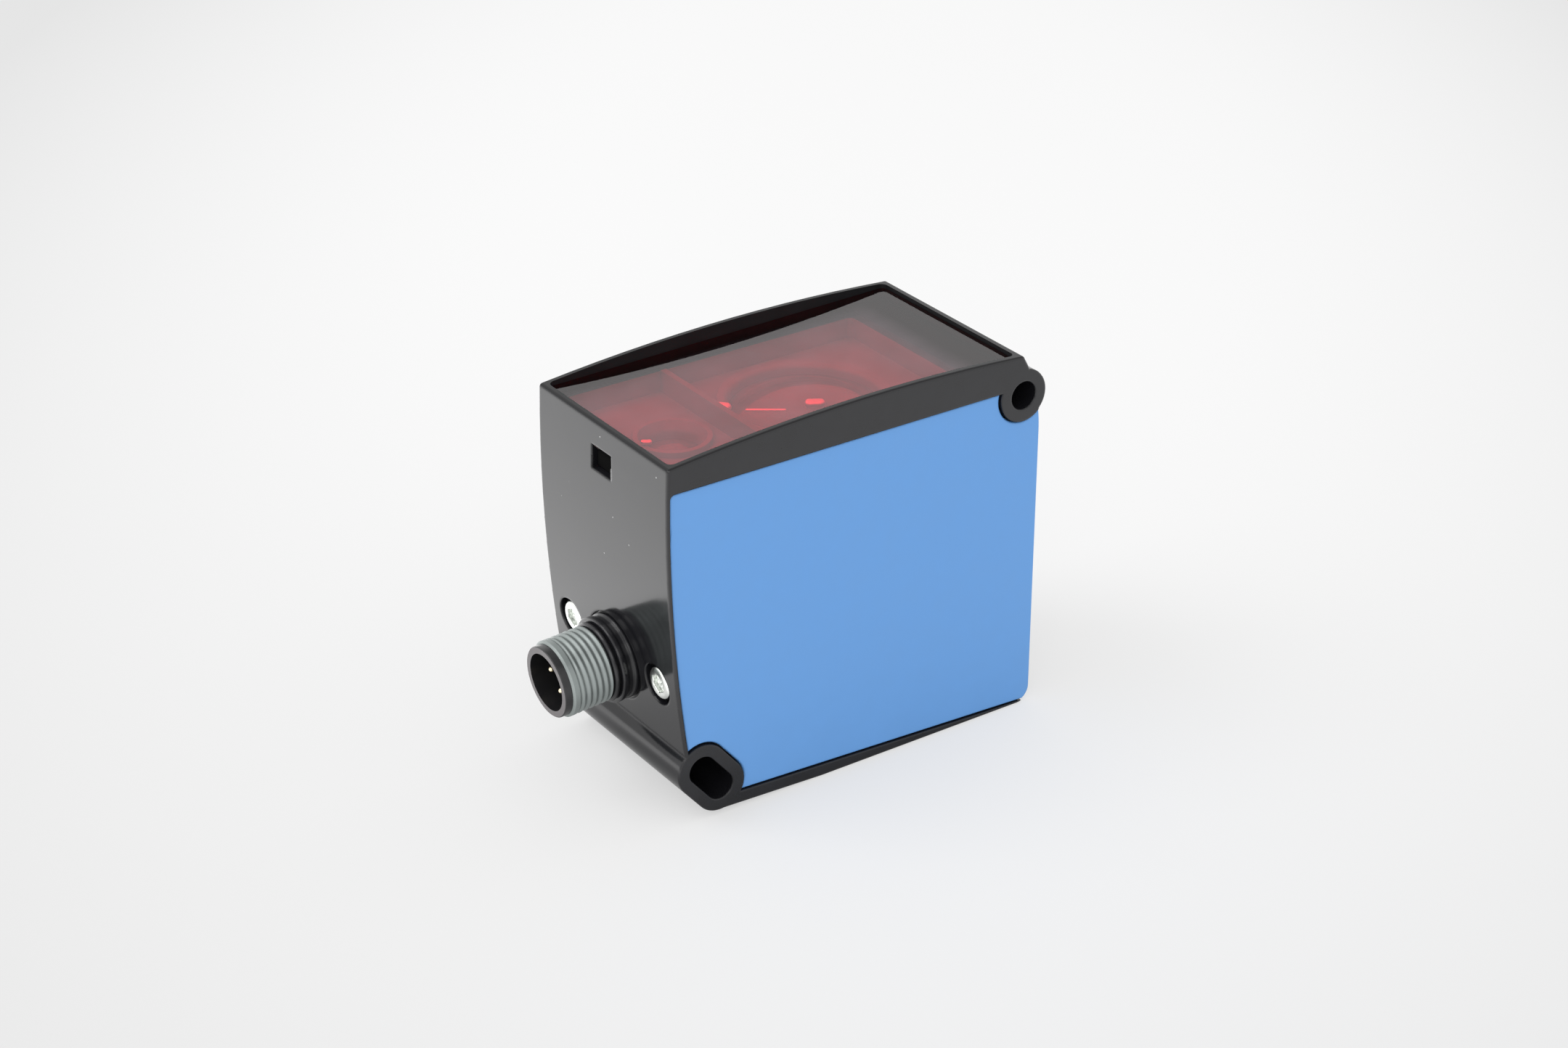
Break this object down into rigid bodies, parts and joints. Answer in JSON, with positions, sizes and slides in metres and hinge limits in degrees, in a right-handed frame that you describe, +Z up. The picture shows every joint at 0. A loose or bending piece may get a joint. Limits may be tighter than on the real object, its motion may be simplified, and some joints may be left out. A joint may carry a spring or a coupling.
{
  "type": "optical distance sensor",
  "caption": "Block-shaped optical distance sensor with a tinted window under an arched rim, a side cover, mounting lugs and a threaded round connector.",
  "frame": {"origin": "on the flat base, midway across the thickness and below the middle of the window", "axes": "+Z up to the window, -X towards the connector, -Y towards the side cover"},
  "size_m": [0.0782, 0.035, 0.0612],
  "materials": {
    "housing_black": "fine moulded texture",
    "cover_blue": "satin",
    "window_red": "polished, tinted",
    "rubber_black": "matte",
    "nickel_plate": "satin nickel plate",
    "insert_black": "satin",
    "contact_gold": "gold plate",
    "screw_steel": "bright zinc plate",
    "carrier_black": "matte",
    "lens_clear": "polished",
    "board_green": "solder resist",
    "part_steel": "tin plate",
    "flex_amber": "satin film"
  },
  "bodies": {
    "root": {"board_header": "insert_black", "board_screws": "part_steel", "connector_board": "board_green", "connector_body": "insert_black", "connector_o_ring": "rubber_black", "contact_carrier": "insert_black", "contact_pin_1": "contact_gold", "contact_pin_2": "contact_gold", "contact_pin_3": "contact_gold", "contact_pin_4": "contact_gold", "cover_gasket": "rubber_black", "emitter_board": "board_green", "emitter_flex": "flex_amber", "emitter_lens": "lens_clear", "emitter_lens_ring": "carrier_black", "emitter_screws": "part_steel", "flange_screws": "screw_steel", "flange_seal": "rubber_black", "housing": "housing_black", "laser_diode": "contact_gold", "light_baffle": "rubber_black", "main_board": "board_green", "optics_carrier": "carrier_black", "photodiode": "part_steel", "processor_chip": "insert_black", "receiver_board": "board_green", "receiver_flex": "flex_amber", "receiver_lens": "lens_clear", "receiver_lens_ring": "carrier_black", "receiver_screws": "part_steel", "shield_can": "part_steel", "side_cover": "cover_blue", "threaded_sleeve": "nickel_plate", "window_pane": "window_red", "window_seal": "rubber_black"}
  },
  "joints": []
}
